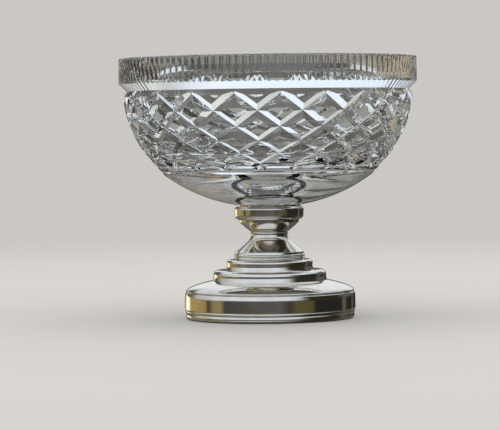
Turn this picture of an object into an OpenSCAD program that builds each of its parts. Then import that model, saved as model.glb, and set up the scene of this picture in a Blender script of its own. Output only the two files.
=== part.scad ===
/* [Glass bowl] */
// Diameter over the rim band
rim_d = 216; // [200:1:232]
// Height from the collar's lip to the top of the rim
bowl_h = 107; // [100:0.5:116]
// Height of the upright band at the rim
band_h = 18.2; // [15:0.1:21]
// Thickness of the glass at the top of the rim
rim_wall = 5.6; // [4.6:0.1:7]
// Thickness of the glass at the top of the cut side
side_wall = 7.9; // [7:0.1:10]
// Thickness of the glass at the middle of the floor, above the peg
floor_t = 14.6; // [12:0.2:18]
// Rounding of both edges of the rim
rim_round = 1.8; // [1:0.1:2.2]

/* [Cuts in the glass] */
// Number of upright cuts round the rim band
flute_count = 126; // [90:1:140]
// Depth of each upright cut
flute_depth = 0.8; // [0.4:0.1:1]
// Depth of the horizontal mitre cut below the rim band
neck_cut_depth = 5.8; // [5:0.1:6.4]
// Height of that cut's upper wall
neck_cut_upper = 5.6; // [4.5:0.1:6.5]
// Height of that cut's lower wall
neck_cut_lower = 4.3; // [3.5:0.1:5.5]
// How far the cut side's top edge lies inside the rim band
shoulder_inset = 3.1; // [2.4:0.1:3.6]
// Number of diamonds round the bowl
diamond_count = 20; // [16:1:24]
// Number of half diamonds from the top row of crossings to the bottom row
diamond_rows = 5; // [4:1:6]
// How far the top row of crossings lies above the cut side's top edge
row_rise = 0.9; // [0:0.1:1.2]
// How far the bottom row of crossings lies below the hip
row_drop = 0.3; // [0:0.1:1.4]
// Depth of the crossed mitre cuts
mitre_depth = 2.8; // [1.5:0.1:3.2]
// Width of the crossed mitre cuts at the surface
mitre_w = 8; // [5:0.1:9]
// Turn of the bowl about its axis, in degrees
cut_turn = 4.5; // [-10:0.1:10]
// Depth of the two fine rings under the diamonds
ring_cut_depth = 1; // [0.3:0.1:1.2]
// Reach of a fine ring's wall above its root, along the glass
ring_cut_upper = 1.5; // [1:0.1:2]
// Reach of a fine ring's wall below its root, along the glass
ring_cut_lower = 0.5; // [0.3:0.1:1]

/* [Peg and collar] */
// Diameter of the glass peg below the bowl
peg_d = 39.2; // [34:0.2:41]
// Length of the glass peg
peg_h = 7.2; // [6:0.1:8]
// Taper of the peg, on the radius
peg_taper = 1; // [0.4:0.1:1.6]
// Diameter of the collar at its lip
lip_d = 46; // [45:0.2:48]
// Diameter of the collar just above its foot
collar_low_d = 45.2; // [44.4:0.2:47]
// Swell of the collar's barrel beyond a straight side
collar_swell = 2.2; // [1:0.1:2.6]
// Height of the collar
collar_h = 11.8; // [11.4:0.1:13.5]
// Diameter of the collar's narrow foot
collar_foot_d = 43; // [42:0.1:44]
// Height of the collar's narrow foot
collar_foot_h = 0.9; // [0.6:0.1:1.4]
// Height of the straight lip at the top of the collar
collar_lip_h = 0.8; // [0.5:0.1:1.4]

/* [Knop and waist] */
// Height of the swelling cup under the collar
knop_h = 7.6; // [6.4:0.1:9]
// Diameter of that cup at its foot
knop_low_d = 27; // [25.6:0.2:30]
// Height of the straight edge at the top of that cup
knop_edge_h = 0.5; // [0.5:0.1:1.2]
// Diameter of the waist bead
bead_d = 27.4; // [26:0.2:29]
// Height of the waist bead
bead_h = 1.8; // [1.4:0.1:2.6]

/* [Pedestal cone] */
// Diameter of the pedestal at the waist
waist_d = 26.2; // [22:0.2:27]
// Diameter of the pedestal cone where it meets its ring
cone_low_d = 49.2; // [44:0.2:50.4]
// Height of the cone above its ring
cone_h = 12.6; // [10:0.1:15]
// Diameter of the ring at the foot of the pedestal cone
cone_ring_d = 51.2; // [51:0.2:54]
// Height of that ring
cone_ring_h = 5.8; // [4.8:0.1:7]
// Rounding of that ring's edges
cone_ring_round = 1.1; // [0.6:0.1:1.4]

/* [Foot] */
// Diameter of the upright foot band
foot_d = 124; // [116:1:132]
// Height of the foot band from its lower edge to the crease
foot_band_h = 18.6; // [17.6:0.1:22]
// Thickness of the foot band's wall
band_wall = 1.6; // [1.3:0.1:2]
// Rounding of the foot band's upper edge
band_round = 1.7; // [1:0.1:2.4]
// Height of the upper of the two reeds at the lower edge
reed_up_h = 2.7; // [2:0.1:3.2]
// Height of the lower reed
reed_low_h = 3.8; // [3:0.1:4.4]
// Step in from the band to the upper reed, and again to the lower one
reed_step = 0.4; // [0.2:0.1:0.5]
// How far the dome's rolled edge lies inside the foot band
edge_inset = 1; // [0.6:0.1:1.6]
// Height of the dome's rolled edge
edge_h = 1.8; // [1.2:0.1:2.4]
// Height of the domed shoulder above the crease
shoulder_rise = 8.4; // [7:0.1:10]
// Diameter of the lower step
step_low_d = 82.8; // [76:0.2:88]
// Height of the lower step
step_low_h = 7.6; // [6.4:0.1:9]
// Diameter of the upper step
step_up_d = 63.4; // [60:0.2:68]
// Height of the upper step
step_up_h = 7.4; // [6.2:0.1:9]
// Reach of the rounding at the lower step's upper edge
step_low_round = 4.4; // [3:0.1:6]
// Reach of the rounding at the upper step's upper edge
step_up_round = 2.8; // [2.4:0.1:4]
// Flare at the foot of each step's side, on the radius
step_flare = 0.5; // [0.2:0.1:1]

/* [Inside the mount] */
// Thickness of the spun sheet
sheet_t = 1; // [0.7:0.1:1.1]
// Diameter of the tie rod
rod_d = 6; // [5:0.1:8]
// Clearance of the rod in the holes that it passes through, on the radius
rod_gap = 0.3; // [0.1:0.1:0.6]
// Length of the rod's end beyond the nut
rod_end = 0.6; // [0.2:0.1:0.8]
// Diameter of the stud plate
plate_d = 24; // [18:0.5:30]
// Thickness of the stud plate
plate_t = 2; // [1.5:0.1:2.4]
// Thickness of the weight's web
web_t = 5; // [3:0.1:6]
// Width of the weight's outer rim
weight_rim_w = 8; // [5:0.5:14]
// Clearance of the weight, the board and the felt in the foot band, on the radius
foot_gap = 0.3; // [0.1:0.1:0.6]
// Outer diameter of the washer
washer_d = 18; // [14:0.5:26]
// Thickness of the washer
washer_t = 1.6; // [1:0.1:2]
// Width across the flats of the nut
nut_af = 10; // [9:0.5:13]
// Height of the nut
nut_h = 4.4; // [3:0.1:4.6]
// Thickness of the base board
board_t = 2; // [1.5:0.1:2.4]
// Thickness of the felt
felt_t = 1.6; // [1.2:0.1:2]
// How far the felt stands below the foot band
felt_proud = 0.8; // [0.4:0.1:1]

/* [Hidden] */

// Facets of the round forms
round_fn = 180;
// Steps along the side arc, along the underside arc, inside the bowl and in a small rounding
side_steps = 12;
underside_steps = 8;
inside_steps = 14;
round_steps = 5;
// Steps along a bend of the spun sheet
bend_steps = 10;
// Overrun of every cut past the surface that it leaves
over = 2;
// Play left between the rod's end and the base board
rod_play = 0.5;
// How far a mitre cut has risen clear of the glass at the end of its run-out
mitre_out = 0.6;
// How much shallower the second set of mitre cuts is than the first
second_set_rise = 0.12;
// What the upright cuts take off the blank's band at their crests
band_excess = 0.15;

// Heights above the table, from the felt up
band_z = felt_proud;
board_z = felt_t;
weight_z = board_z + board_t;
crease_z = band_z + foot_band_h;
flange_z = crease_z - sheet_t;
step_low_z = crease_z + shoulder_rise;
step_up_z = step_low_z + step_low_h;
cone_ring_z = step_up_z + step_up_h;
cone_z = cone_ring_z + cone_ring_h;
waist_z = cone_z + cone_h;
knop_z = waist_z + bead_h;
collar_z = knop_z + knop_h;
bowl_z = collar_z + collar_h;
rod_z = weight_z + rod_play;
web_z = rod_z + rod_end + nut_h + washer_t;

// Radii of the foot
foot_r = foot_d / 2;
band_in_r = foot_r - band_wall;
inner_r = band_in_r - foot_gap;
hole_r = rod_d / 2 + rod_gap;
// Width of the flange that the dome stands on
flange_w = 6;

// The bowl's outline, from the collar's lip up
rim_r = rim_d / 2;
seat_r = lip_d / 2;
peg_r = peg_d / 2;
// Places of the heel and of the hip, as shares of the rim's radius and the bowl's height
heel_shares = [0.697, 0.207];
hip_shares = [0.755, 0.272];
// Rise of the two arcs over their chords, as shares of the chords
underside_bow_share = 0.061;
side_bow_share = 0.088;
// Places of the two fine rings on the way from the heel to the hip, as shares
ring_shares = [0.28, 0.86];
// Exponent of the inside's rounded outline
inside_power = 2.2;
band_up = bowl_h - band_h;
neck_up = band_up - neck_cut_upper;
shoulder_up = neck_up - neck_cut_lower;
shoulder_r = rim_r - shoulder_inset;
neck_r = rim_r - neck_cut_depth;
heel = [rim_r * heel_shares[0], bowl_h * heel_shares[1]];
hip = [rim_r * hip_shares[0], bowl_h * hip_shares[1]];
shoulder = [shoulder_r, shoulder_up];

// Half the angle that an arc turns through, from its rise over its chord
function half_angle(share) = 2 * atan(2 * share);

// Radius and centre of the arc from p up to q that swells outwards
function arc_radius(p, q, share) = norm(q - p) / 2 / sin(half_angle(share));
function arc_centre(p, q, share) =
    let (way = (q - p) / norm(q - p))
    (p + q) / 2 - [way[1], -way[0]] * arc_radius(p, q, share) * cos(half_angle(share));

// The point on that arc at a part t of the way
function arc_point(p, q, share, t) =
    let (c = arc_centre(p, q, share),
         a = atan2((p - c)[1], (p - c)[0]) + 2 * half_angle(share) * t)
    c + arc_radius(p, q, share) * [cos(a), sin(a)];
function arc_points(p, q, share, steps) = [for (i = [0 : steps]) arc_point(p, q, share, i / steps)];

// A round about c that starts at angle a0
function round_points(c, r, a0, turn) =
    [for (i = [0 : round_steps]) let (a = a0 + turn * i / round_steps) c + r * [cos(a), sin(a)]];

// A bend that leaves p towards the corner c and arrives at q from it
function bend_points(p, c, q, steps) =
    [for (i = [0 : steps]) let (t = i / steps) (1 - t) * (1 - t) * p + 2 * t * (1 - t) * c + t * t * q];

// A path shifted to its left by t, with mitred corners
function reversed(list) = [for (i = [len(list) - 1 : -1 : 0]) list[i]];
function unit(v) = v / norm(v);
function left_of(v) = [-v[1], v[0]];
function way_at(path, i) = unit(path[i + 1] - path[i]);
function shifted(path, t) =
    let (last = len(path) - 1)
    [for (i = [0 : last])
        let (before = left_of(way_at(path, max(i - 1, 0))),
             after = left_of(way_at(path, min(i, last - 1))),
             mid = unit(before + after))
        path[i] + mid * t / (mid * after)];

// Spun sheet: the path follows its outer face from the foot up, the thickness lies to the left
module spun(path) {
    rotate_extrude($fn = round_fn)
        polygon(concat(path, reversed(shifted(path, sheet_t))));
}

// Exponent of the collar's barrel: fuller than a plain arc
barrel_power = 6;
// Radii and places of the collar's cup, from its foot
collar_foot_r = collar_foot_d / 2;
collar_low_r = collar_low_d / 2;
collar_low = [collar_low_r, collar_foot_h + (collar_low_r - collar_foot_r) / 2];
collar_top = [seat_r, collar_h - collar_lip_h];
barrel = [for (i = [0 : bend_steps])
    let (t = i / bend_steps, full = 1 - pow(abs(2 * t - 1), barrel_power))
    collar_low + (collar_top - collar_low) * t + [collar_swell * full, 0]];
collar_path = concat([[hole_r, 0], [collar_foot_r, 0], [collar_foot_r, collar_foot_h]],
                     barrel, [[seat_r, collar_h]]);

// The glass before it is cut
side_arc = arc_points(hip, shoulder, side_bow_share, side_steps);
underside_arc = arc_points([seat_r, 0], heel, underside_bow_share, underside_steps);
inside_r = shoulder_r - side_wall;
inside_depth = shoulder_up - floor_t;
inside_curve = [for (i = [0 : inside_steps])
    let (a = 90 * i / inside_steps)
    [inside_r * pow(cos(a), 2 / inside_power), shoulder_up - inside_depth * pow(sin(a), 2 / inside_power)]];
rim_round_up = bowl_h - rim_round;
rim_in_r = rim_r - rim_wall;
blank_r = rim_r + band_excess;

module glass_blank() {
    rotate_extrude($fn = round_fn)
        polygon(concat([[0, -peg_h], [peg_r - peg_taper, -peg_h], [peg_r, 0]],
                       underside_arc,
                       side_arc,
                       [[neck_r, neck_up],
                        [blank_r, band_up + band_excess * neck_cut_upper / neck_cut_depth]],
                       round_points([blank_r - rim_round, rim_round_up], rim_round, 0, 90),
                       round_points([rim_in_r + rim_round, rim_round_up], rim_round, 90, 90),
                       inside_curve));
}

// What the upright cuts take off the rim band: all that lies outside a ring of shallow angles
module flute_waste() {
    step = 360 / flute_count;
    valley_r = rim_r - flute_depth;
    translate([0, 0, neck_up])
        difference() {
            cylinder(r = rim_r + over, h = bowl_h - neck_up + over, $fn = round_fn);
            translate([0, 0, -over])
                linear_extrude(bowl_h - neck_up + 3 * over)
                    polygon([for (i = [0 : flute_count - 1], side = [0, 1])
                        let (r = side == 0 ? rim_r : valley_r, a = step * (i + side / 2))
                        r * [cos(a), sin(a)]]);
        }
}

// One fine ring, cut into the band between the heel and the hip
module ring_cut(share) {
    way = unit(hip - heel);
    out = -left_of(way);
    root = heel + (hip - heel) * share - out * ring_cut_depth;
    // the walls are drawn on past the glass
    grow = (ring_cut_depth + over) / ring_cut_depth;
    upper = out * ring_cut_depth + way * ring_cut_upper;
    lower = out * ring_cut_depth - way * ring_cut_lower;
    rotate_extrude($fn = round_fn)
        polygon([root, root + upper * grow, root + lower * grow]);
}

// The crossed mitre cuts wind down the side at one slope, from the top crossings to the bottom ones,
// and pass them by a short run-out at each end. A section lies at each crossing, counted from the top.
crossing_angle = 180 / diamond_count;
side_r = arc_radius(hip, shoulder, side_bow_share);
side_centre = arc_centre(hip, shoulder, side_bow_share);
side_len = side_r * 2 * half_angle(side_bow_share) * PI / 180;
run_out_share = 0.2;
run_out = neck_cut_lower * run_out_share;
function side_point(s) = arc_point(hip, shoulder, side_bow_share, 1 - s / side_len);
rows_part = (side_len + row_rise + row_drop) / side_steps;
function part_turn(i) = rows_part / side_point(rows_part * (i + 0.5) - row_rise)[0];
function sum(list, i = 0) = i == len(list) ? 0 : list[i] + sum(list, i + 1);
side_turn = sum([for (i = [0 : side_steps - 1]) part_turn(i)]) * 180 / PI;
mitre_slope = atan(side_turn / (crossing_angle * diamond_rows));
drop = crossing_angle * PI / 180 * tan(mitre_slope);
function way_down(k) =
    k == 0 ? -row_rise : let (s = way_down(k - 1)) s + drop * side_point(s + drop * side_point(s)[0] / 2)[0];

// A section is its way down the side, its angle round the bowl and its depth
function run_angle(s) = run_out / side_point(s)[0] / drop * crossing_angle;
function section(k) =
    k < 0 ? [-row_rise - run_out, -run_angle(0), -mitre_out]
    : k > diamond_rows
        ? [way_down(diamond_rows) + run_out, crossing_angle * diamond_rows + run_angle(side_len), -mitre_out]
        : [way_down(k), crossing_angle * k, mitre_depth];

// The three corners of a section: the bottom of the cut and both edges above the glass
function section_corners(s, angle, depth) =
    let (p = side_point(s),
         n = unit(p - side_centre),
         round_way = [-sin(angle), cos(angle), 0],
         out = [n[0] * cos(angle), n[0] * sin(angle), n[1]],
         up = [-n[1] * cos(angle), -n[1] * sin(angle), n[0]],
         across = round_way * sin(mitre_slope) + up * cos(mitre_slope),
         at = [p[0] * cos(angle), p[0] * sin(angle), p[1]],
         reach = (depth + over) * mitre_w / 2 / mitre_depth)
    [at - out * depth, at + out * over + across * reach, at + out * over - across * reach];

module mitre_cut(rise) {
    corners = [for (k = [-1 : diamond_rows + 1])
        let (s = section(k)) each section_corners(s[0], s[1], s[2] - rise)];
    last = 3 * (diamond_rows + 2);
    sides = [for (i = [0 : diamond_rows + 1], e = [0 : 2])
        let (a = 3 * i + e, b = 3 * i + (e + 1) % 3)
        each [[a, b + 3, b], [a, a + 3, b + 3]]];
    polyhedron(points = corners, faces = concat(sides, [[0, 1, 2], [last + 2, last + 1, last]]));
}

// Crystal bowl with its peg, all cuts in one piece of glass
module glass_bowl() {
    color([0.82, 0.88, 0.9, 0.45])
        translate([0, 0, bowl_z])
            rotate([0, 0, cut_turn])
                difference() {
                    glass_blank();
                    flute_waste();
                    for (share = ring_shares)
                        ring_cut(share);
                    for (i = [0 : diamond_count - 1], side = [0, 1])
                        rotate([0, 0, 360 * i / diamond_count])
                            mirror([0, side, 0])
                                mitre_cut(side * second_set_rise);
                }
}

// Plaster that beds the peg, on the stud plate and against the collar's inner face
module setting_plaster() {
    inner_face = shifted(collar_path, sheet_t);
    wall = [for (i = [1 : len(inner_face) - 1]) inner_face[i]];
    plate_top = sheet_t + plate_t;
    color([0.9, 0.88, 0.83])
        translate([0, 0, collar_z])
            rotate_extrude($fn = round_fn)
                polygon(concat([[0, plate_top], [plate_d / 2, plate_top], [plate_d / 2, sheet_t]],
                               wall,
                               [[peg_r, collar_h], [peg_r - peg_taper, collar_h - peg_h],
                                [0, collar_h - peg_h]]));
}

// Barrel-shaped cup that the peg is set in
module collar_cup() {
    color([0.86, 0.86, 0.84])
        translate([0, 0, collar_z])
            spun(collar_path);
}

// Tapped plate soldered to the collar's floor
module stud_plate() {
    color([0.8, 0.65, 0.35])
        translate([0, 0, collar_z + sheet_t])
            difference() {
                cylinder(d = plate_d, h = plate_t, $fn = round_fn);
                translate([0, 0, -over])
                    cylinder(d = rod_d, h = plate_t + 2 * over, $fn = round_fn);
            }
}

// Cup that swells from the waist to the collar's foot
module knop_base() {
    low = [knop_low_d / 2, 0];
    high = [collar_foot_r, knop_h - knop_edge_h];
    corner_shares = [0.67, 0.57];
    corner = [for (i = [0, 1]) low[i] + (high[i] - low[i]) * corner_shares[i]];
    color([0.86, 0.86, 0.84])
        translate([0, 0, knop_z])
            spun(concat([[hole_r, 0]], bend_points(low, corner, high, bend_steps),
                        [[collar_foot_r, knop_h]]));
}

// Turned ring at the narrowest place
module waist_bead() {
    half = bead_h / 2;
    color([0.86, 0.86, 0.84])
        translate([0, 0, waist_z])
            rotate_extrude($fn = round_fn)
                polygon(concat([[hole_r, 0]],
                               round_points([bead_d / 2 - half, half], half, -90, 180),
                               [[hole_r, bead_h]]));
}

// Cone that bends upright at the waist, with a rounded ring at its foot, closed around the rod
module pedestal_cone() {
    ring_r = cone_ring_d / 2;
    edge_r = ring_r - cone_ring_round;
    waist_r = waist_d / 2;
    low = [cone_low_d / 2, cone_ring_h];
    top = [waist_r, cone_ring_h + cone_h];
    foot_in_r = ring_r - 3 * sheet_t;
    corner_rise_share = 0.78;
    straight_share = 0.8;
    corner = [waist_r, low[1] + cone_h * corner_rise_share];
    color([0.86, 0.86, 0.84])
        translate([0, 0, cone_ring_z])
            spun(concat([[foot_in_r, 0]],
                        round_points([edge_r, cone_ring_round], cone_ring_round, -90, 90),
                        round_points([edge_r, cone_ring_h - cone_ring_round], cone_ring_round, 0, 90),
                        [low],
                        bend_points(low + (corner - low) * straight_share, corner, top, bend_steps),
                        [[hole_r, top[1]]]));
}

// Side of a round step, flared at its foot and rounded at its top
function step_points(r, foot, top, rounding, flare_share) =
    let (in_r = r - step_flare, side_h = top - rounding - foot, bend_share = 0.1)
    concat(bend_points([r, foot], [in_r, foot + side_h * flare_share],
                       [in_r, foot + side_h * (flare_share + bend_share)], round_steps),
           bend_points([in_r, top - rounding], [in_r, top], [in_r - rounding, top], round_steps));

// Stepped dome: rolled edge, domed shoulder, two round steps and a flat top around the rod
module foot_dome() {
    edge_r = foot_r - edge_inset;
    half = edge_h / 2;
    low_r = step_low_d / 2;
    up_r = step_up_d / 2;
    low_top = shoulder_rise + step_low_h;
    up_top = low_top + step_up_h;
    crease_gap = sheet_t / 2;
    flare_shares = [0.8, 0.5];
    shoulder_shares = [0.81, 0.6];
    start = [edge_r - half / 2, edge_h];
    color([0.86, 0.86, 0.84])
        translate([0, 0, crease_z])
            spun(concat([[edge_r - half - 2 * sheet_t, 0]],
                        round_points([edge_r - half, half], half, -90, 90),
                        bend_points(start,
                                    [low_r + (edge_r - low_r) * shoulder_shares[0],
                                     shoulder_rise * shoulder_shares[1]],
                                    [low_r + crease_gap, shoulder_rise], bend_steps),
                        step_points(low_r, shoulder_rise, low_top, step_low_round, flare_shares[0]),
                        step_points(up_r, low_top, up_top, step_up_round, flare_shares[1]),
                        [[hole_r, up_top]]));
}

// Upright band with two reeds below and a flange that the dome stands on
module foot_band() {
    reeds_h = reed_low_h + reed_up_h;
    color([0.86, 0.86, 0.84])
        translate([0, 0, band_z])
            rotate_extrude($fn = round_fn)
                polygon(concat([[band_in_r, 0],
                                [foot_r - 2 * reed_step, 0], [foot_r - 2 * reed_step, reed_low_h],
                                [foot_r - reed_step, reed_low_h], [foot_r - reed_step, reeds_h],
                                [foot_r, reeds_h]],
                               round_points([foot_r - band_round, foot_band_h - band_round],
                                            band_round, 0, 90),
                               [[foot_r - flange_w, foot_band_h],
                                [foot_r - flange_w, foot_band_h - sheet_t],
                                [band_in_r, foot_band_h - sheet_t]]));
}

// Cast loading piece: its rim reaches from the board to the band's flange, its web takes the nut
module foot_weight() {
    rim_in_r = inner_r - weight_rim_w;
    color([0.32, 0.32, 0.33])
        rotate_extrude($fn = round_fn)
            polygon([[hole_r, web_z], [rim_in_r, web_z], [rim_in_r, weight_z], [inner_r, weight_z],
                     [inner_r, flange_z], [rim_in_r, flange_z], [rim_in_r, web_z + web_t],
                     [hole_r, web_z + web_t]]);
}

// Rod from the nut to the top of the stud plate
module tie_rod() {
    color([0.6, 0.61, 0.62])
        translate([0, 0, rod_z])
            cylinder(d = rod_d, h = collar_z + sheet_t + plate_t - rod_z, $fn = round_fn);
}

module clamp_washer() {
    color([0.6, 0.61, 0.62])
        translate([0, 0, web_z - washer_t])
            difference() {
                cylinder(d = washer_d, h = washer_t, $fn = round_fn);
                translate([0, 0, -over])
                    cylinder(r = hole_r, h = washer_t + 2 * over, $fn = round_fn);
            }
}

module clamp_nut() {
    color([0.6, 0.61, 0.62])
        translate([0, 0, rod_z + rod_end])
            difference() {
                cylinder(d = nut_af / cos(30), h = nut_h, $fn = 6);
                translate([0, 0, -over])
                    cylinder(d = rod_d, h = nut_h + 2 * over, $fn = round_fn);
            }
}

// Fibre board that closes the foot
module base_board() {
    color([0.55, 0.47, 0.36])
        translate([0, 0, board_z])
            cylinder(r = inner_r, h = board_t, $fn = round_fn);
}

// Felt that the bowl stands on
module felt_pad() {
    color([0.12, 0.14, 0.13])
        cylinder(r = inner_r, h = felt_t, $fn = round_fn);
}

glass_bowl();
setting_plaster();
collar_cup();
stud_plate();
knop_base();
waist_bead();
pedestal_cone();
foot_dome();
foot_band();
foot_weight();
tie_rod();
clamp_washer();
clamp_nut();
base_board();
felt_pad();
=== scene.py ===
import math

import bmesh
import bpy
from mathutils import Matrix, Vector


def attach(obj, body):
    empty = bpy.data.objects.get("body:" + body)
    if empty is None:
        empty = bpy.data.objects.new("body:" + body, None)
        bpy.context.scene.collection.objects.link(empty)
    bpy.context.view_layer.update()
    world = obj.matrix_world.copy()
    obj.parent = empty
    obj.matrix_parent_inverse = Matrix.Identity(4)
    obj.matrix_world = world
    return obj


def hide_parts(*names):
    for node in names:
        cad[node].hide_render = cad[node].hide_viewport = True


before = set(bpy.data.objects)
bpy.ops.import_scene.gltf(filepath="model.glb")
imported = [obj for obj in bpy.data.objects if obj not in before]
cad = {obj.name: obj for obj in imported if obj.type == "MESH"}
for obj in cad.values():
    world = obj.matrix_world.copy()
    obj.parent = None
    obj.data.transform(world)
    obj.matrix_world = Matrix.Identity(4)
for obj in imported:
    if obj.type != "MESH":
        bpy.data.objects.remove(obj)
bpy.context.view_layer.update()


# Felt pad. The real one is a disc of dark green wool felt, stamped out and glued to the
# board that closes the foot; only its edge shows, as a dark line just above the table.

def spun(name, outline, segments=192, closed=True):
    """A piece turned on the axis from an outline of (radius, height) points in millimetres."""
    bm = bmesh.new()
    verts = [bm.verts.new((r / 1000, 0, z / 1000)) for r, z in outline]
    ends = verts[1:] + verts[:1] if closed else verts[1:]
    edges = [bm.edges.new(pair) for pair in zip(verts, ends)]
    bmesh.ops.spin(bm, geom=verts + edges, cent=(0, 0, 0), axis=(0, 0, 1),
                   angle=2 * math.pi, steps=segments, use_merge=True)
    bmesh.ops.remove_doubles(bm, verts=bm.verts, dist=1e-7)
    bmesh.ops.recalc_face_normals(bm, faces=bm.faces)
    return made(name, bm)


def made(name, bm):
    """The object of a finished bmesh, at the origin."""
    mesh = bpy.data.meshes.new(name)
    bm.to_mesh(mesh)
    bm.free()
    piece = bpy.data.objects.new(name, mesh)
    bpy.context.scene.collection.objects.link(piece)
    return piece


def smooth(piece, angle=30):
    """Shades a piece smooth, with its edges over an angle kept crisp."""
    piece.data.shade_smooth()
    piece.data.set_sharp_from_angle(angle=math.radians(angle))


def arc(centre, radius, start, turn, steps):
    """Points of a round from a start angle through a turn, in degrees."""
    angles = [math.radians(start + turn * i / steps) for i in range(steps + 1)]
    return [(centre[0] + radius * math.cos(a), centre[1] + radius * math.sin(a)) for a in angles]


def linear(colour):
    """An sRGB hex colour as the linear colour that a socket takes."""
    parts = [int(colour[i:i + 2], 16) / 255 for i in (1, 3, 5)]
    return [c / 12.92 if c <= 0.04045 else ((c + 0.055) / 1.055) ** 2.4 for c in parts] + [1]


def add(tree, kind, inputs=None, **settings):
    """Adds a node with its settings; an input is a value, or another node's output."""
    made_node = tree.nodes.new(kind)
    for name, value in settings.items():
        setattr(made_node, name, value)
    for socket, value in (inputs or {}).items():
        if isinstance(value, bpy.types.NodeSocket):
            tree.links.new(value, made_node.inputs[socket])
        else:
            made_node.inputs[socket].default_value = value
    return made_node


def ramp(tree, factor, stops, **settings):
    """A colour ramp over a factor, from (place, linear colour) stops."""
    band = add(tree, "ShaderNodeValToRGB", {"Fac": factor}, **settings)
    for place, colour in stops[1:-1]:
        band.color_ramp.elements.new(place)
    for element, (place, colour) in zip(band.color_ramp.elements, stops):
        element.position = place
        element.color = colour
    return band


def finish(name, values):
    """A new material with a Principled shader that holds the values; returns both and the tree."""
    material = bpy.data.materials.new(name)
    material.use_nodes = True
    tree = material.node_tree
    shader = tree.nodes["Principled BSDF"]
    for socket, value in values.items():
        shader.inputs[socket].default_value = value
    return material, tree, shader


# Wool felt: matt and soft, with a fine tangle of fibres and a little fuzz at the edge.
felt_finish, tree, shader = finish("wool_felt", {"Roughness": 0.95, "Sheen Weight": 0.35,
                                                 "Sheen Roughness": 0.6})
place = add(tree, "ShaderNodeTexCoord").outputs["Object"]
# fibre tangle about 0.4 mm across, drawn as wisps of 1 mm so that they show
fibres = add(tree, "ShaderNodeTexNoise", {"Vector": place, "Scale": 1000, "Detail": 4,
                                          "Distortion": 1.5})
shade = ramp(tree, fibres.outputs["Fac"], [(0.3, linear("#14211B")), (0.75, linear("#2B4036"))])
tree.links.new(shade.outputs["Color"], shader.inputs["Base Color"])
pile = add(tree, "ShaderNodeBump", {"Height": fibres.outputs["Fac"], "Strength": 0.6,
                                    "Distance": 0.0002})
tree.links.new(pile.outputs["Normal"], shader.inputs["Normal"])

felt_r = 60.1
felt_t = 1.6
felt_round = 0.35
felt_flat_r = felt_r - felt_round
felt = spun("felt_disc", [(0, 0), (felt_flat_r, 0)]
            + arc((felt_flat_r, felt_round), felt_round, -80, 70, 3)
            + arc((felt_flat_r, felt_t - felt_round), felt_round, 10, 70, 3)
            + [(felt_flat_r, felt_t), (0, felt_t)], closed=False)
smooth(felt, 50)
felt.data.materials.append(felt_finish)
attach(felt, "root")
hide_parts("felt_pad")


# Base board. A disc of pressed fibre board, pushed into the foot band after the nut is
# tight; the felt hides it.

# Pressed fibre board: dull brown and flecked, a little rough to the touch.
board_finish, tree, shader = finish("pressed_fibre_board", {"Roughness": 0.85})
place = add(tree, "ShaderNodeTexCoord").outputs["Object"]
# flakes of pulp a few millimetres long
pulp = add(tree, "ShaderNodeTexNoise", {"Vector": place, "Scale": 300, "Detail": 6, "Roughness": 0.7})
shade = ramp(tree, pulp.outputs["Fac"], [(0.3, linear("#6B5940")), (0.7, linear("#8F7A5A"))])
tree.links.new(shade.outputs["Color"], shader.inputs["Base Color"])
press = add(tree, "ShaderNodeBump", {"Height": pulp.outputs["Fac"], "Strength": 0.4,
                                     "Distance": 0.0003})
tree.links.new(press.outputs["Normal"], shader.inputs["Normal"])
cad["base_board"].data.materials.clear()
cad["base_board"].data.materials.append(board_finish)


# Loading piece. A grey cast-iron disc that gives the foot its weight, left as it came
# from the sand; the nut pulls it up against the band's flange.

# Sand-cast iron: dark grey and grainy, with hardly any shine.
iron_finish, tree, shader = finish("sand_cast_iron", {"Metallic": 1, "Roughness": 0.7})
place = add(tree, "ShaderNodeTexCoord").outputs["Object"]
# sand grains of about half a millimetre
sand = add(tree, "ShaderNodeTexNoise", {"Vector": place, "Scale": 1800, "Detail": 5})
shade = ramp(tree, sand.outputs["Fac"], [(0.25, linear("#3E3D3C")), (0.8, linear("#676562"))])
tree.links.new(shade.outputs["Color"], shader.inputs["Base Color"])
skin = add(tree, "ShaderNodeBump", {"Height": sand.outputs["Fac"], "Strength": 0.7, "Distance": 0.0002})
tree.links.new(skin.outputs["Normal"], shader.inputs["Normal"])
cad["foot_weight"].data.materials.clear()
cad["foot_weight"].data.materials.append(iron_finish)


# Tie rod, washer and nut. Bright drawn steel; the rod hangs from the collar's tapped plate
# and draws the whole stem together.

# Bright drawn steel: cold grey, with a satin shine that streaks along the rod.
steel_finish, tree, shader = finish("bright_drawn_steel", {"Metallic": 1})
place = add(tree, "ShaderNodeTexCoord").outputs["Object"]
# draw marks of 0.3 mm run along the rod
along = add(tree, "ShaderNodeMapping", {"Vector": place, "Scale": (3300, 3300, 60)})
marks = add(tree, "ShaderNodeTexNoise", {"Vector": along.outputs["Vector"], "Scale": 1, "Detail": 3})
shade = ramp(tree, marks.outputs["Fac"], [(0.3, linear("#B4B5B6")), (0.7, linear("#D2D2D1"))])
tree.links.new(shade.outputs["Color"], shader.inputs["Base Color"])
gloss = add(tree, "ShaderNodeMapRange", {"Value": marks.outputs["Fac"], "To Min": 0.22, "To Max": 0.38})
tree.links.new(gloss.outputs["Result"], shader.inputs["Roughness"])
for name in ("tie_rod", "clamp_washer", "clamp_nut"):
    cad[name].data.materials.clear()
    cad[name].data.materials.append(steel_finish)


# Foot band. An upright strip of plated brass, turned over into a flange above and rolled
# with two small reeds below, soft-soldered to the dome that stands on it.

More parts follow.
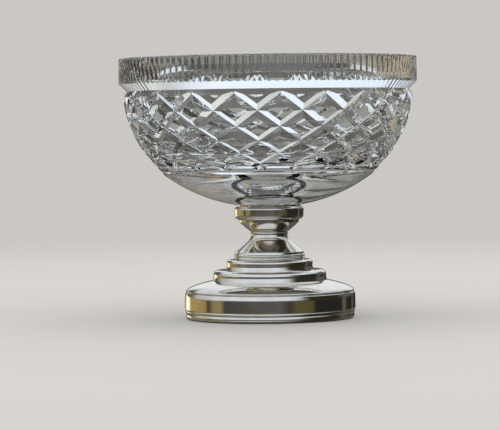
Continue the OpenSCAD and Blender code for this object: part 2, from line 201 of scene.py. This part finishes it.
def bend(start, corner, end, steps):
    """Points of a soft bend that leaves start towards the corner and arrives at end from it."""
    points = []
    for i in range(steps + 1):
        t = i / steps
        points.append(tuple((1 - t) ** 2 * a + 2 * t * (1 - t) * b + t * t * c
                            for a, b, c in zip(start, corner, end)))
    return points


# Silver plate over spun brass: a near mirror, very slightly warm, with a little waviness
# and the faint dulling of old polish; the lathe's own rings are polished out.
silver, tree, shader = finish("polished_silver_plate", {"Metallic": 1})
place = add(tree, "ShaderNodeTexCoord").outputs["Object"]
# dull patches of polish about 12 mm across
dulling = add(tree, "ShaderNodeTexNoise", {"Vector": place, "Scale": 85, "Detail": 5, "Roughness": 0.6})
shade = ramp(tree, dulling.outputs["Fac"], [(0.35, linear("#E9E4D8")), (0.65, linear("#F3F1EC"))])
tree.links.new(shade.outputs["Color"], shader.inputs["Base Color"])
gloss = add(tree, "ShaderNodeMapRange", {"Value": dulling.outputs["Fac"], "From Min": 0.3,
                                         "From Max": 0.7, "To Min": 0.035, "To Max": 0.075})
tree.links.new(gloss.outputs["Result"], shader.inputs["Roughness"])
# waviness of hand finishing, 20 mm from crest to crest
wave = add(tree, "ShaderNodeTexNoise", {"Vector": place, "Scale": 50, "Detail": 1})
wavy = add(tree, "ShaderNodeBump", {"Height": wave.outputs["Fac"], "Strength": 1, "Distance": 0.00006})
tree.links.new(wavy.outputs["Normal"], shader.inputs["Normal"])

band_z = 0.8
foot_r = 62
band_in_r = 60.4
band_top = 19.4
reed_low_h = 3.8
reed_up_h = 2.7
reed_step = 0.4
sheet = 1
flange_in_r = 56
groove_depth = 0.65
groove_half = 0.15
reed_bulge = 0.4


def reed(r, z, height):
    """One rolled reed: a shallow round between two fine grooves."""
    face = bend((r - reed_bulge, z + groove_half), (r + reed_bulge, z + height / 2),
                (r - reed_bulge, z + height - groove_half), 10)
    return [(r - groove_depth, z)] + face + [(r - groove_depth, z + height)]


reeds_top = band_z + reed_low_h + reed_up_h
band_chamfer = 0.2
# above 14.6 mm the band leans in a little, and then its edge is rounded over
band_lean = [(foot_r, 14.6), (foot_r, 17), (foot_r - 0.5, 18.7)]
band_edge = [(foot_r - 0.52, 18.8), (foot_r - 0.7, band_top), (foot_r - 1.7, band_top)]
band = spun("foot_band_silver",
            [(band_in_r, band_z)]
            + reed(foot_r - 2 * reed_step, band_z, reed_low_h)
            + reed(foot_r - reed_step, band_z + reed_low_h, reed_up_h)[1:]
            + [(foot_r - band_chamfer, reeds_top), (foot_r, reeds_top + band_chamfer)]
            + bend(*band_lean, 12) + bend(*band_edge, 8)
            + [(flange_in_r, band_top), (flange_in_r, band_top - sheet), (band_in_r, band_top - sheet)],
            segments=256)
smooth(band, 35)
band.data.materials.append(silver)
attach(band, "root")
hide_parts("foot_band")


# Foot dome. One sheet of brass spun over a former into a rolled edge, a domed shoulder and
# two round steps, then plated; the pedestal stands on its flat top.

def sheet_of(path, thickness):
    """The closed outline of spun sheet whose outer face follows a path from the foot up."""
    inner = []
    for i, (r, z) in enumerate(path):
        before = Vector(path[max(i - 1, 0)])
        after = Vector(path[min(i + 1, len(path) - 1)])
        here = Vector((r, z))
        ways = [w.normalized() for w in (here - before, after - here) if w.length > 0]
        lefts = [Vector((-w.y, w.x)) for w in ways]
        middle = (lefts[0] + lefts[-1]).normalized()
        inner.append(tuple(here + middle * thickness / middle.dot(lefts[0])))
    return path + inner[::-1]


dome_edge_r = 61
dome_edge_h = 1.8
shoulder_z = 27.8
step_low_r = 41.4
step_low_z = 35.4
step_up_r = 31.7
step_up_z = 42.8
step_low_round = 4.4
step_up_round = 2.8
flare = 0.5
step_low_flare = 0.8
step_up_flare = 0.5
drawn_share = 0.08
hole_r = 3.3
roll_r = dome_edge_h / 2


def step_side(r, foot, top, rounding, flare_share):
    """The side of a round step: flared at its foot, a little drawn in above, rounded at its top."""
    r_in = r - flare
    rise = top - rounding - foot
    drawn = rise * (1 - flare_share) * drawn_share
    return bend((r, foot), (r_in - drawn, foot + rise * flare_share),
                (r_in - drawn * 0.8, foot + rise * (flare_share + 0.1)), 14) \
        + bend((r_in, top - rounding), (r_in + rounding * drawn_share, top), (r_in - rounding, top), 18)


shoulder_corner = (step_low_r + (dome_edge_r - step_low_r) * 0.81,
                   band_top + (shoulder_z - band_top) * 0.6)
dome = spun("foot_dome_silver", sheet_of(
    [(dome_edge_r - roll_r - 2 * sheet, band_top)]
    + arc((dome_edge_r - roll_r, band_top + roll_r), roll_r, -90, 90 + 62, 10)
    + bend((dome_edge_r - roll_r / 2, band_top + dome_edge_h), shoulder_corner,
           (step_low_r + sheet / 2, shoulder_z), 28)
    + step_side(step_low_r, shoulder_z, step_low_z, step_low_round, step_low_flare)
    + step_side(step_up_r, step_low_z, step_up_z, step_up_round, step_up_flare)
    + [(hole_r, step_up_z)], sheet), segments=256)
smooth(dome, 35)
dome.data.materials.append(silver)
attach(dome, "root")
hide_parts("foot_dome")


# Pedestal. A cone of plated brass, spun in one with the two small beads at its foot and
# closed at the top around the tie rod.
ring_r = 25.6
ring_h = 5.8
ring_z = 42.8
cone_low_r = 24.6
cone_top_z = 61.2
waist_r = 13.1
cone_low = Vector((cone_low_r, ring_z + ring_h))
cone_corner = Vector((waist_r, cone_low.y + (cone_top_z - cone_low.y) * 0.78))
# the flank has a close ring next to its foot, which keeps its long face straight to the eye
cone = [tuple(cone_low), tuple(cone_low.lerp(cone_corner, 0.02))] \
    + bend(cone_low.lerp(cone_corner, 0.8), cone_corner, (waist_r, cone_top_z), 20) \
    + [(hole_r, cone_top_z)]
plain = [(ring_r - 3 * sheet, ring_z), (ring_r, ring_z), (ring_r, ring_z + ring_h)] + cone
inner_face = sheet_of(plain, sheet)[len(plain):]
bead_round = 1.05
beads = arc((ring_r - bead_round, ring_z + bead_round), bead_round, -90, 170, 12) \
    + arc((ring_r - bead_round, ring_z + 3 * bead_round), bead_round, -80, 150, 12)
# an upright neck over the beads, rounded over to the foot of the cone
neck_r = ring_r - 0.75
neck_low = [(neck_r, ring_z + 4.25), (neck_r, ring_z + 5.2)]
lip_r = ring_r - 0.8
lip = bend((lip_r, ring_z + 5.5), (lip_r, ring_z + ring_h), (cone_low_r, ring_z + ring_h), 5)[:-1]
pedestal = spun("pedestal_silver", [plain[0]] + beads + neck_low + lip + cone + inner_face,
                segments=192)
smooth(pedestal, 35)
pedestal.data.materials.append(silver)
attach(pedestal, "root")
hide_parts("pedestal_cone")


# Waist bead. A small turned ring of plated brass, clamped between the pedestal and the
# knop at the narrowest place of the stem.
bead_r = 13.7
bead_h = 1.8
bead = spun("waist_bead_silver", [(hole_r, cone_top_z)]
            + arc((bead_r - bead_h / 2, cone_top_z + bead_h / 2), bead_h / 2, -90, 180, 14)
            + [(hole_r, cone_top_z + bead_h)], segments=128)
smooth(bead, 35)
bead.data.materials.append(silver)
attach(bead, "root")
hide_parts("waist_bead")


# Knop base. A cup of plated brass, spun to swell upwards from the bead to the collar's
# foot, and held on the rod between them.
knop_z = 63
knop_h = 7.6
knop_low_r = 13.5
collar_foot_r = 21.5
knop_edge_h = 0.5
knop_lift = 0.1
swell_h = knop_h - knop_edge_h
knop_corner = (knop_low_r + (collar_foot_r - knop_low_r) * 0.67, knop_z + swell_h * 0.57)
knop = spun("knop_silver", sheet_of(
    [(hole_r, knop_z)]
    + bend((knop_low_r, knop_z + knop_lift), knop_corner, (collar_foot_r, knop_z + swell_h), 32)
    + [(collar_foot_r, knop_z + knop_h)], sheet), segments=160)
smooth(knop, 35)
knop.data.materials.append(silver)
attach(knop, "root")
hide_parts("knop_base")


# Collar. A barrel-shaped cup of spun and plated brass that holds the glass peg in plaster;
# its lip comes up to the underside of the bowl.
collar_z = 70.6
collar_h = 11.8
collar_foot_h = 0.9
collar_lip_h = 0.8
collar_low_r = 22.6
lip_out_r = 23
collar_low = Vector((collar_low_r, collar_foot_h + (collar_low_r - collar_foot_r) / 2))
collar_top = Vector((lip_out_r, collar_h - collar_lip_h))
swell = 2.2
fullness = 6
barrel = []
for i in range(49):
    t = i / 48
    swollen = Vector((swell * (1 - abs(2 * t - 1) ** fullness), 0))
    barrel.append(tuple(collar_low.lerp(collar_top, t) + swollen))
collar_path = [(hole_r, 0), (collar_foot_r, 0), (collar_foot_r, collar_foot_h)] + barrel \
    + [(lip_out_r, collar_h)]
collar = spun("collar_silver", sheet_of([(r, collar_z + z) for r, z in collar_path], sheet),
              segments=192)
smooth(collar, 35)
collar.data.materials.append(silver)
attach(collar, "root")
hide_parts("collar_cup")


# Stud plate. A turned brass plate with a tapped hole, soldered to the collar's floor; the
# tie rod pulls on it, so that the thin cup itself carries no thread.

# Turned brass: warm yellow, with the fine rings of the tool.
brass_finish, tree, shader = finish("turned_brass", {"Metallic": 1})
place = add(tree, "ShaderNodeTexCoord").outputs["Object"]
# tool rings 1.6 mm apart, coarser than the real ones, so that they can be told apart
rings = add(tree, "ShaderNodeTexWave", {"Vector": place, "Scale": 200, "Distortion": 0.4, "Detail": 1},
            wave_type="RINGS", rings_direction="Z")
shade = ramp(tree, rings.outputs["Fac"], [(0.2, linear("#C9A75A")), (0.8, linear("#D9BC74"))])
tree.links.new(shade.outputs["Color"], shader.inputs["Base Color"])
gloss = add(tree, "ShaderNodeMapRange", {"Value": rings.outputs["Fac"], "To Min": 0.25, "To Max": 0.4})
tree.links.new(gloss.outputs["Result"], shader.inputs["Roughness"])
cad["stud_plate"].data.materials.clear()
cad["stud_plate"].data.materials.append(brass_finish)


# Setting plaster. Poured round the peg to bed the glass in the collar; through the floor of
# the bowl it shows as a pale disc.

# Setting plaster: matt and chalky, slightly clouded.
plaster_finish, tree, shader = finish("setting_plaster", {"Roughness": 0.9})
place = add(tree, "ShaderNodeTexCoord").outputs["Object"]
# pores and clouding, 2.5 mm across and finer
pores = add(tree, "ShaderNodeTexNoise", {"Vector": place, "Scale": 400, "Detail": 8, "Roughness": 0.6})
shade = ramp(tree, pores.outputs["Fac"], [(0.3, linear("#D9D4C8")), (0.7, linear("#F0ECE4"))])
tree.links.new(shade.outputs["Color"], shader.inputs["Base Color"])
grain = add(tree, "ShaderNodeBump", {"Height": pores.outputs["Fac"], "Strength": 0.4,
                                     "Distance": 0.0002})
tree.links.new(grain.outputs["Normal"], shader.inputs["Normal"])
cad["setting_plaster"].data.materials.clear()
cad["setting_plaster"].data.materials.append(plaster_finish)


# Glass bowl. Lead crystal, blown thick in a mould, then cut on the wheel: upright mitres
# round the rim, one deep mitre under them, crossed mitres that leave the diamonds, and two
# fine rings. The peg below its floor is set in the collar.
bowl_z = 82.4
rim_r = 108
rim_up = 107
band_excess = 0.15
blank_r = rim_r + band_excess
rim_wall = 5.6
rim_round = 1.8
neck = (102.2, 83.2)
band_low = 88.8 + band_excess
shoulder = Vector((104.9, 78.9))
hip = Vector((81.5, 29.1))
heel = Vector((75.3, 22.1))
seat = Vector((23, 0))
peg_r = 19.45
peg_h = 7.1
peg_taper = 1
peg_chamfer = 0.3
inside_r = 97
inside_depth = 64.3
inside_power = 2.2
side_bow = 0.088
underside_bow = 0.061


class Swell:
    """The arc from p up to q that swells outwards by a share of its chord."""

    def __init__(self, p, q, share):
        way = (q - p).normalized()
        self.half = 2 * math.atan(2 * share)
        self.radius = (q - p).length / 2 / math.sin(self.half)
        self.centre = (p + q) / 2 - Vector((way.y, -way.x)) * self.radius * math.cos(self.half)
        self.start = math.atan2(p.y - self.centre.y, p.x - self.centre.x)
        self.length = self.radius * 2 * self.half

    def at(self, t):
        a = self.start + 2 * self.half * t
        return self.centre + self.radius * Vector((math.cos(a), math.sin(a)))

    def points(self, steps):
        return [tuple(self.at(i / steps)) for i in range(steps + 1)]


side = Swell(hip, shoulder, side_bow)
underside = Swell(seat, heel, underside_bow)
inside = []
for i in range(33):
    a = math.radians(90 * i / 32)
    inside.append((inside_r * math.cos(a) ** (2 / inside_power),
                   shoulder.y - inside_depth * math.sin(a) ** (2 / inside_power)))
inside[-1] = (0, inside[-1][1])
rim_in_r = rim_r - rim_wall
glass = spun("glass_bowl_cut", [
    (r, bowl_z + z) for r, z in
    [(0, -peg_h), (peg_r - peg_taper - peg_chamfer, -peg_h),
     (peg_r - peg_taper, -peg_h + peg_chamfer), (peg_r, 0)]
    + underside.points(20) + side.points(30) + [neck, (blank_r, band_low)]
    + arc((blank_r - rim_round, rim_up - rim_round), rim_round, 0, 90, 8)
    + arc((rim_in_r + rim_round, rim_up - rim_round), rim_round, 90, 90, 8)
    + inside], segments=288, closed=False)


def cut(piece, cutter):
    """Takes a cutter out of a piece and puts the cutter away."""
    modifier = piece.modifiers.new("cut", "BOOLEAN")
    modifier.operation = "DIFFERENCE"
    modifier.solver = "MANIFOLD"
    modifier.object = cutter
    graph = bpy.context.evaluated_depsgraph_get()
    mesh = bpy.data.meshes.new_from_object(piece.evaluated_get(graph))
    piece.modifiers.clear()
    piece.data = mesh
    piece.data.materials.clear()
    bpy.data.objects.remove(cutter)


# The wheel that cuts the upright mitres leaves 126 shallow angles round the band.
flute_count = 126
flute_depth = 0.8
# every wheel reaches at least this far past the glass
over = 2
bm = bmesh.new()
bmesh.ops.create_circle(bm, segments=2 * flute_count, radius=rim_r / 1000,
                        matrix=Matrix.Translation((0, 0, (bowl_z + neck[1]) / 1000)))
valleys = bm.verts[:][1::2]
bmesh.ops.scale(bm, vec=(1 - flute_depth / rim_r, 1 - flute_depth / rim_r, 1), verts=valleys)
outer = bmesh.ops.extrude_edge_only(bm, edges=bm.edges[:])["geom"]
for vert in (v for v in outer if isinstance(v, bmesh.types.BMVert)):
    vert.co.xy = vert.co.xy.normalized() * (rim_r + 2 * over) / 1000
raised = bmesh.ops.extrude_face_region(bm, geom=bm.faces[:], use_keep_orig=True)["geom"]
bmesh.ops.translate(bm, vec=(0, 0, (rim_up - neck[1] + over) / 1000),
                    verts=[v for v in raised if isinstance(v, bmesh.types.BMVert)])
bmesh.ops.recalc_face_normals(bm, faces=bm.faces)
cut(glass, made("flute_wheel", bm))

# Two fine rings lie under the diamonds, on the straight band between heel and hip. Each has
# a long wall above its root and a short one below, and the wheel's walls go on past the glass.
ring_depth = 1
ring_upper = 1.5
ring_lower = 0.5
wheel_size = 3
way = (hip - heel).normalized()
out = Vector((way.y, -way.x))
upper_wall = (out * ring_depth + way * ring_upper) * wheel_size
lower_wall = (out * ring_depth - way * ring_lower) * wheel_size
for share in (0.28, 0.86):
    root = heel + (hip - heel) * share - out * ring_depth + Vector((0, bowl_z))
    cut(glass, spun("ring_wheel", [tuple(root), tuple(root + upper_wall), tuple(root + lower_wall)],
                    segments=288))

# Crossed mitres wind down the side at one slope, 20 to the left and 20 to the right. Each
# bar is the wheel's wedge swept along the cut, lifted clear of the glass at both ends. A
# section lies at each eighth of the way from crossing to crossing.
diamonds = 20
rows = 5
row_rise = 0.9
row_drop = 0.3
step = math.pi / diamonds
mitre_depth = 3.0
mitre_w = 8.5
run_out = 0.86
lift = 0.6
fine = 8


def turn_to(s0, s1, steps=200):
    """How far round the bowl a cut of slope 1 goes between two places down the side."""
    ds = (s1 - s0) / steps
    return sum(ds / side.at(1 - (s0 + ds * (i + 0.5)) / side.length).x for i in range(steps))


slope = turn_to(-row_rise, side.length + row_drop) / (step * rows)
s = -row_rise
stations = [(s - run_out, -run_out / side.at(1).x / slope, -lift)]
for i in range(rows * fine + 1):
    stations.append((s, step * i / fine, mitre_depth))
    s += slope * step / fine * side.at(1 - s / side.length).x
stations.append((side.length + row_drop + run_out,
                 step * rows + run_out / side.at(0).x / slope, -lift))


def bar(bm, hand, turn):
    """One wedge along a cut: a triangle extruded from station to station."""
    corners = []
    for s, angle, depth in stations:
        p = side.at(1 - s / side.length)
        n = (p - side.centre).normalized()
        a = angle * hand + turn
        out = Vector((n.x * math.cos(a), n.x * math.sin(a), n.y))
        up = Vector((-n.y * math.cos(a), -n.y * math.sin(a), n.x))
        round_way = Vector((-math.sin(a), math.cos(a), 0)) * hand
        tilt = math.atan(slope)
        across = round_way * math.sin(tilt) + up * math.cos(tilt)
        at = Vector((p.x * math.cos(a), p.x * math.sin(a), p.y + bowl_z))
        reach = (depth + over) * mitre_w / 2 / mitre_depth
        corners.append([(at - out * depth) / 1000, (at + out * over + across * reach) / 1000,
                        (at + out * over - across * reach) / 1000])
    start = [bm.verts.new(c) for c in corners[0]]
    face = bm.faces.new(start)
    for section in corners[1:]:
        face = bmesh.ops.extrude_discrete_faces(bm, faces=[face])["faces"][0]
        for vert, corner in zip(face.verts, section):
            vert.co = corner
    bm.faces.new(start[::-1])


for hand in (1, -1):
    bm = bmesh.new()
    for i in range(diamonds):
        bar(bm, hand, 2 * step * i)
    bmesh.ops.recalc_face_normals(bm, faces=bm.faces)
    cut(glass, made("mitre_wheel", bm))

# the bowl stands in its collar turned by a few degrees
cut_turn = math.radians(4.5)
glass.data.transform(Matrix.Rotation(cut_turn, 4, "Z"))
smooth(glass, 14)

# Lead crystal: colourless, heavy, a high index for glass. Acid-polished cuts keep a faint
# ripple, so edges sparkle unevenly.
crystal, tree, shader = finish("cut_lead_crystal", {"Base Color": linear("#FCFEFD"), "IOR": 1.545,
                                                    "Transmission Weight": 1, "Roughness": 0})
place = add(tree, "ShaderNodeTexCoord").outputs["Object"]
# ripple of 4 mm
ripple = add(tree, "ShaderNodeTexNoise", {"Vector": place, "Scale": 250, "Detail": 2})
polish = add(tree, "ShaderNodeBump", {"Height": ripple.outputs["Fac"], "Strength": 1,
                                      "Distance": 0.00001})
tree.links.new(polish.outputs["Normal"], shader.inputs["Normal"])
glass.data.materials.append(crystal)
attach(glass, "root")
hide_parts("glass_bowl")


# Floor, backdrop and light. A plain pale table top that fades into a plain pale backdrop,
# under the even light of a large soft box. Silver and cut glass see cloths instead, bright,
# dark and coloured, which are hung round the object and light nothing else.
backdrop = linear("#CBC8C3")

# Painted table top: pale and matt, so that it holds the object's soft shadow.
floor_finish, tree, shader = finish("pale_table_top", {"Roughness": 0.8, "Specular IOR Level": 0.1,
                                                       "Base Color": linear("#D6D3CE")})
place = add(tree, "ShaderNodeTexCoord").outputs["Object"]
reach = add(tree, "ShaderNodeVectorMath", {0: place}, operation="LENGTH")
fade = add(tree, "ShaderNodeMapRange", {"Value": reach.outputs["Value"], "From Min": 0.45,
                                        "From Max": 1.5}, interpolation_type="SMOOTHSTEP")
clear = add(tree, "ShaderNodeBsdfTransparent")
blend = add(tree, "ShaderNodeMixShader", {0: fade.outputs["Result"], 1: shader.outputs["BSDF"],
                                          2: clear.outputs["BSDF"]})
tree.links.new(blend.outputs["Shader"], tree.nodes["Material Output"].inputs["Surface"])
bm = bmesh.new()
bmesh.ops.create_circle(bm, cap_ends=True, segments=96, radius=1.6)
floor = made("floor", bm)
floor.data.materials.append(floor_finish)
floor.visible_glossy = False
floor.visible_transmission = False

world = bpy.data.worlds.new("soft_box")
bpy.context.scene.world = world
world.use_nodes = True
world.cycles.sampling_method = "NONE"
tree = world.node_tree
tree.nodes.clear()
looking = add(tree, "ShaderNodeTexCoord").outputs["Generated"]
xyz = add(tree, "ShaderNodeSeparateXYZ", {0: looking})


def sums(operation, a, b=0.0):
    """The outcome of a small sum in the world's tree."""
    return add(tree, "ShaderNodeMath", {0: a, 1: b}, operation=operation).outputs[0]


def grey(level, tint="#FFFFFF"):
    """A light level, in a tint."""
    return [level * c for c in linear(tint)[:3]] + [1]


def mixed(factor, a, b):
    """Two colours mixed by a factor."""
    mix = add(tree, "ShaderNodeMix", {"Factor": factor}, data_type="RGBA")
    for socket, value in ((6, a), (7, b)):
        if isinstance(value, bpy.types.NodeSocket):
            tree.links.new(value, mix.inputs[socket])
        else:
            mix.inputs[socket].default_value = value
    return mix.outputs[2]


def eased(value, low, high):
    """0 below low, 1 above high, eased between them."""
    return add(tree, "ShaderNodeMapRange", {"Value": value, "From Min": low, "From Max": high},
               interpolation_type="SMOOTHSTEP").outputs["Result"]


# height and bearings of where a ray goes, in degrees: the bearing is 0 in front of the object
# and 90 on its right, the back bearing is 0 behind it and 90 on its right
degrees = math.degrees(1)
height = sums("MULTIPLY", sums("ARCSINE", xyz.outputs["Z"]), degrees)
front_way = sums("MULTIPLY", xyz.outputs["Y"], -1)
bearing = sums("MULTIPLY", sums("ARCTAN2", xyz.outputs["X"], front_way), degrees)
back = sums("MULTIPLY", sums("ARCTAN2", xyz.outputs["X"], xyz.outputs["Y"]), degrees)
round_share = sums("DIVIDE", sums("ADD", bearing, 180), 360)


def within(value, low, high, soft):
    """1 between low and high, 0 outside, eased over a soft edge."""
    risen = eased(value, low - soft, low + soft)
    return sums("SUBTRACT", risen, eased(value, high - soft, high + soft))


def patch(base, colour, turned, b0, b1, h0, h1, soft=4, side_soft=9):
    """A bright or dark cloth hung over part of the view, between two bearings and two heights."""
    spread = sums("MULTIPLY", within(turned, b0, b1, side_soft), within(height, h0, h1, soft))
    return mixed(spread, base, colour)


def stop(bearing_degrees, level, tint="#FFFFFF"):
    """A stop of a ramp that runs once round, at a bearing in degrees."""
    return ((bearing_degrees + 180) / 360, grey(level, tint))


# what silver mirrors: bright cloths in front, high behind and overhead, a dimmer one on the
# left, dark ones on the right, a dim one low in front with a bright strip across it, and a
# row of coloured ones all round, almost level with the object
room = patch(grey(0.1, "#FFF8EE"), grey(0.5, "#FDFAF4"), bearing, -128, -62, 2, 62, 4, 14)
room = patch(room, grey(0.75, "#F0F4FF"), bearing, -66, 46, 30, 62, 4, 20)
room = patch(room, grey(0.15, "#FBFAF8"), bearing, -62, 26, -70, -7, 3, 18)
room = patch(room, grey(0.2, "#FFF4D8"), bearing, -160, -62, -70, -7, 3, 14)
room = patch(room, grey(0.62, "#FCFBFA"), bearing, -62, 26, -28, -17, 3, 18)
room = patch(room, grey(0.9, "#E6EFFC"), bearing, -92, 48, 6, 32, 3, 30)
room = patch(room, grey(0.03, "#FFF0C0"), bearing, 48, 112, -70, 56, 4, 12)
room = patch(room, grey(0.12, "#FFF9F2"), bearing, 112, 155, 8, 56)
room = patch(room, grey(0.85, "#E6EEFA"), back, -150, 150, 26, 62, 4, 12)
room = patch(room, grey(0.95, "#F2F5FA"), back, -14, 28, 6, 52, 4, 6)
overhead = eased(height, 54, 64)
room = mixed(overhead, room, grey(0.95, "#F6F8FC"))
row = ramp(tree, round_share, [
    (0, grey(0.05, "#FFE0A8")), stop(-168, 0.05, "#FFE0A8"), stop(-160, 0.7, "#FFF4D8"),
    stop(-152, 1.3, "#FFF4D8"), stop(-142, 1.2, "#FFF4D8"), stop(-136, 0.4, "#FFE090"),
    stop(-112, 0.38, "#FFE09A"), stop(-98, 0.3, "#FFE09A"), stop(-93, 0.05, "#FFE9A8"),
    stop(-82, 0.25, "#FFEFB0"), stop(-70, 0.28, "#FFE9A0"), stop(-64, 0.06),
    stop(-30, 0.09, "#FFF0E8"), stop(10, 0.11), stop(26, 0.05, "#FFF0D8"),
    stop(36, 0.1, "#FFF3A8"), stop(58, 0.09, "#FFF3A8"),
    stop(64, 0.02), stop(112, 0.02), stop(117, 0.14, "#FFF4DC"), stop(126, 0.03, "#FFE9C8"),
    stop(140, 0.02, "#FFE9C8"), stop(145, 0.1, "#FFF4DC"), stop(152, 0.04), (1, grey(0.04, "#FFE0A8"))])
mirror_view = patch(room, row.outputs["Color"], bearing, -200, 200, -6.5, 2, 1.5)

# what shows through the glass: grey straight behind it, a bright cloth high behind on the
# right and a dimmer one on the left, one in front, and darker ones below and overhead
glass_view = patch(grey(0.07, "#FFF4EC"), grey(0.12, "#FFF2E6"), back, -100, 100, -90, -21)
glass_view = patch(glass_view, grey(0.04, "#FFEFDC"), back, -100, 0, -20, -7, 2, 3)
glass_view = patch(glass_view, grey(0.3, "#FFF8F0"), back, 0, 100, -20, -7, 2, 3)
glass_view = patch(glass_view, grey(0.45, "#FFE8C8"), back, 24, 100, -20, -7, 2, 6)
glass_view = patch(glass_view, grey(0.32, "#FCFAF4"), back, -100, 100, -7, 7, 2)
glass_view = patch(glass_view, grey(1.2, "#E3ECF8"), back, -12, 104, 12, 42)
glass_view = patch(glass_view, grey(0.9, "#F4F6F2"), back, -104, -12, 12, 42)
glass_view = patch(glass_view, grey(0.9, "#F4F8FF"), bearing, -62, 26, 5, 40)
glass_view = mixed(overhead, glass_view, grey(0.14, "#FFF8F0"))

plain_light = mixed(eased(height, -30, 60), grey(0.8), grey(1.1))
path = add(tree, "ShaderNodeLightPath")
seen = mixed(path.outputs["Is Glossy Ray"], plain_light, mirror_view)
seen = mixed(path.outputs["Is Transmission Ray"], seen, glass_view)
seen = mixed(path.outputs["Is Camera Ray"], seen, backdrop)
shine = add(tree, "ShaderNodeBackground", {"Color": seen})
add(tree, "ShaderNodeOutputWorld", {"Surface": shine.outputs["Background"]})

# The camera stands two metres away at the height of the glass, a little left of the axis.
lens = bpy.data.cameras.new("camera")
lens.sensor_width = 36
lens.lens = 193.4
camera = bpy.data.objects.new("camera", lens)
camera.location = (-0.0131, -1.95, 0.1408)
camera.rotation_euler = (math.radians(90 - 1.93), math.radians(0.7), 0)
bpy.context.scene.collection.objects.link(camera)
bpy.context.scene.camera = camera
bpy.context.scene.view_settings.view_transform = "Standard"
bpy.context.scene.cycles.max_bounces = 32
bpy.context.scene.cycles.transmission_bounces = 32
bpy.context.scene.cycles.glossy_bounces = 12
